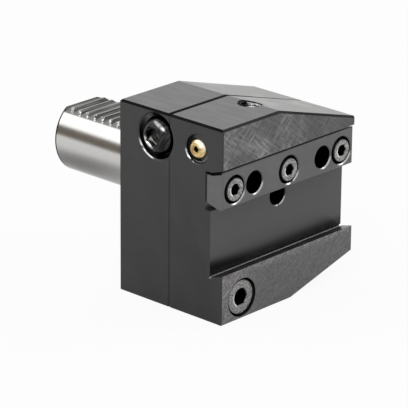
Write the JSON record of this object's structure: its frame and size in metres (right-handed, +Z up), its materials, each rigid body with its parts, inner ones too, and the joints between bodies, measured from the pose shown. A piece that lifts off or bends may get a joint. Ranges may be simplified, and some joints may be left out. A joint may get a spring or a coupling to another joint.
{
  "type": "radial tool holder",
  "caption": "Radial turret tool holder for parting-off blades: toothed round shank, bolted two-part block, V-seat blade slot with a wedge clamp bar and a swivelling coolant nozzle.",
  "frame": {"origin": "on the shank axis, in the plane of the flange's contact face", "axes": "+Y along the shank away from the block, +Z up to the toothed flat's side, -X to the coolant nozzle's side; the blade slot runs along X at -Y"},
  "size_m": [0.073, 0.105, 0.073],
  "materials": {
    "black_steel": "satin black oxide on steel; the shank ground bright",
    "wedge_steel": "satin black oxide on ground steel",
    "screw_steel": "worn phosphated steel, pale on the head faces",
    "black_screw_steel": "glossy black oxide",
    "ground_steel": "ground",
    "nozzle_brass": "turned",
    "seat_plastic": "moulded",
    "seal_rubber": "matt"
  },
  "bodies": {
    "holder": {"flange_shank": "black_steel", "shank_seal_ring": "seal_rubber", "blade_block": "black_steel", "block_screw_upper_left": "screw_steel", "block_screw_upper_right": "screw_steel", "block_screw_lower": "screw_steel", "centre_dowel": "ground_steel", "offset_dowel": "ground_steel", "seam_seal_ring": "seal_rubber", "nozzle_retainer": "black_screw_steel", "top_port_plug": "black_screw_steel", "side_plug_screw": "black_screw_steel", "side_plug_washer": "black_screw_steel"},
    "wedge": {"clamp_wedge": "wedge_steel"},
    "washer_left": {"clamp_washer_left": "screw_steel"},
    "washer_middle": {"clamp_washer_middle": "screw_steel"},
    "washer_right": {"clamp_washer_right": "screw_steel"},
    "screw_left": {"clamp_screw_left": "screw_steel"},
    "screw_middle": {"clamp_screw_middle": "screw_steel"},
    "screw_right": {"clamp_screw_right": "screw_steel"},
    "seat": {"nozzle_seat": "seat_plastic"},
    "ball": {"nozzle_ball": "nozzle_brass"}
  },
  "joints": [
    {"name": "wedge_slide", "type": "slide", "parent": "holder", "child": "wedge", "axis": [0, -0.9511, 0.309], "range_m": [0, 0.0016]},
    {"name": "washer_left_slide", "type": "slide", "parent": "holder", "child": "washer_left", "axis": [0, -1, 0], "range_m": [0, 0.00152]},
    {"name": "screw_left_turn", "type": "hinge", "parent": "washer_left", "child": "screw_left", "pos_m": [-0.0286, -0.046, 0.0106], "axis": [0, -1, 0], "range_deg": [0, 684.81]},
    {"name": "washer_middle_slide", "type": "slide", "parent": "holder", "child": "washer_middle", "axis": [0, -1, 0], "range_m": [0, 0.00152]},
    {"name": "screw_middle_turn", "type": "hinge", "parent": "washer_middle", "child": "screw_middle", "pos_m": [0, -0.046, 0.0106], "axis": [0, -1, 0], "range_deg": [0, 684.81]},
    {"name": "washer_right_slide", "type": "slide", "parent": "holder", "child": "washer_right", "axis": [0, -1, 0], "range_m": [0, 0.00152]},
    {"name": "screw_right_turn", "type": "hinge", "parent": "washer_right", "child": "screw_right", "pos_m": [0.0286, -0.046, 0.0106], "axis": [0, -1, 0], "range_deg": [0, 684.81]},
    {"name": "nozzle_spin", "type": "hinge", "parent": "holder", "child": "seat", "pos_m": [-0.0328, -0.0377, 0.0243], "axis": [-1, 0, 0], "continuous": true},
    {"name": "nozzle_tilt", "type": "hinge", "parent": "seat", "child": "ball", "pos_m": [-0.0328, -0.0377, 0.0243], "axis": [0, 1, 0], "range_deg": [-15, 15]}
  ],
  "couplings": [
    {"joint": "washer_left_slide", "follows": "wedge_slide", "ratio": 0.95106},
    {"joint": "screw_left_turn", "follows": "wedge_slide", "rad_per_m": 7469.6},
    {"joint": "washer_middle_slide", "follows": "wedge_slide", "ratio": 0.95106},
    {"joint": "screw_middle_turn", "follows": "wedge_slide", "rad_per_m": 7469.6},
    {"joint": "washer_right_slide", "follows": "wedge_slide", "ratio": 0.95106},
    {"joint": "screw_right_turn", "follows": "wedge_slide", "rad_per_m": 7469.6}
  ]
}
